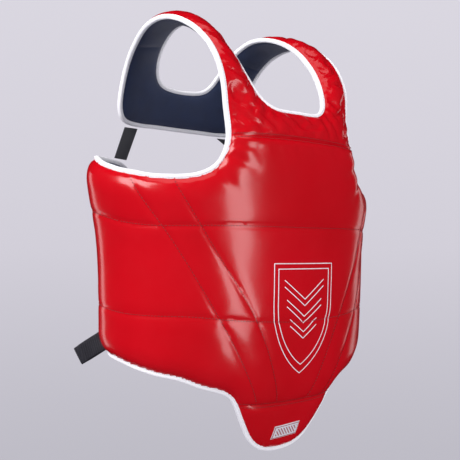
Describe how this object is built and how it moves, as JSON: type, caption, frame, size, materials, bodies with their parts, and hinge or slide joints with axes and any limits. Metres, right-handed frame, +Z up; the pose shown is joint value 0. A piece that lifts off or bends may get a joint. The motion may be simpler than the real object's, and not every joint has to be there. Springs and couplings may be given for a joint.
{
  "type": "chest protector",
  "caption": "Padded chest protector for boxing and martial arts: quilted front, folding side wings, shoulder straps, back yoke, lower flap and a hook-and-loop waist strap.",
  "frame": {"origin": "on the axis of the wearer's trunk, where the folds at the two sides meet the middle of the chest and back, about 13 mm above the lowest point of the lower flap", "axes": "+Z up along the trunk, -Y the way the wearer faces, +X the wearer's left"},
  "size_m": [0.421, 0.2837, 0.5646],
  "materials": {
    "red_leather": "glossy coated synthetic leather",
    "foam": "matt closed-cell foam",
    "navy_lining": "matt woven lining",
    "white_tape": "ribbed binding tape",
    "black_webbing": "woven webbing",
    "black_hook": "hook and loop tape",
    "woven_label": "woven label"
  },
  "bodies": {
    "vest_shell": {"front_cover": "red_leather", "front_foam": "foam", "front_lining": "navy_lining", "chest_cover": "red_leather", "chest_foam": "foam", "chest_lining": "navy_lining", "left_shoulder_foam": "foam", "right_shoulder_foam": "foam", "yoke_cover": "red_leather", "yoke_foam": "foam", "yoke_lining": "navy_lining", "neck_binding": "white_tape", "left_armhole_binding": "white_tape", "right_armhole_binding": "white_tape", "left_hem_binding": "white_tape", "right_hem_binding": "white_tape", "yoke_binding": "white_tape", "left_elastic": "black_webbing", "right_elastic": "black_webbing"},
    "right_wing": {"right_wing_cover": "red_leather", "right_wing_foam": "foam", "right_wing_lining": "navy_lining", "right_wing_binding": "white_tape", "loop_patch": "black_hook"},
    "left_wing": {"left_wing_cover": "red_leather", "left_wing_foam": "foam", "left_wing_lining": "navy_lining", "left_wing_binding": "white_tape", "strap_anchor": "black_webbing"},
    "lower_flap": {"flap_cover": "red_leather", "flap_foam": "foam", "flap_lining": "navy_lining", "flap_binding": "white_tape", "flap_label": "woven_label"},
    "back_strap": {"waist_strap": "black_webbing", "hook_patch": "black_hook"},
    "strap_loop": {"pull_loop": "black_webbing"}
  },
  "joints": [
    {"name": "right_wing_fold", "type": "hinge", "parent": "vest_shell", "child": "right_wing", "pos_m": [-0.2165, 0, 0.24], "axis": [0, 0, 1], "range_deg": [0, 28], "stiffness_Nm_per_rad": 1.2, "deforming": ["right_elastic", "left_elastic"]},
    {"name": "left_wing_fold", "type": "hinge", "parent": "vest_shell", "child": "left_wing", "pos_m": [0.2165, 0, 0.24], "axis": [0, 0, -1], "range_deg": [0, 28], "stiffness_Nm_per_rad": 1.2},
    {"name": "waist_strap_release", "type": "hinge", "parent": "left_wing", "child": "back_strap", "pos_m": [0.0959, 0.1051, 0.1385], "axis": [0, 0, -1], "range_deg": [0, 56]},
    {"name": "flap_lift", "type": "hinge", "parent": "vest_shell", "child": "lower_flap", "pos_m": [0, -0.1176, 0.0531], "axis": [-1, 0, 0], "range_deg": [0, 55], "stiffness_Nm_per_rad": 0.3},
    {"name": "pull_loop_flip", "type": "hinge", "parent": "back_strap", "child": "strap_loop", "pos_m": [-0.14177, 0.09336, 0.12643], "axis": [-0.2531, 0.4486, 0.8572], "range_deg": [-40, 40]}
  ],
  "couplings": [
    {"joint": "left_wing_fold", "follows": "right_wing_fold", "ratio": 1},
    {"joint": "waist_strap_release", "follows": "right_wing_fold", "ratio": 2}
  ]
}
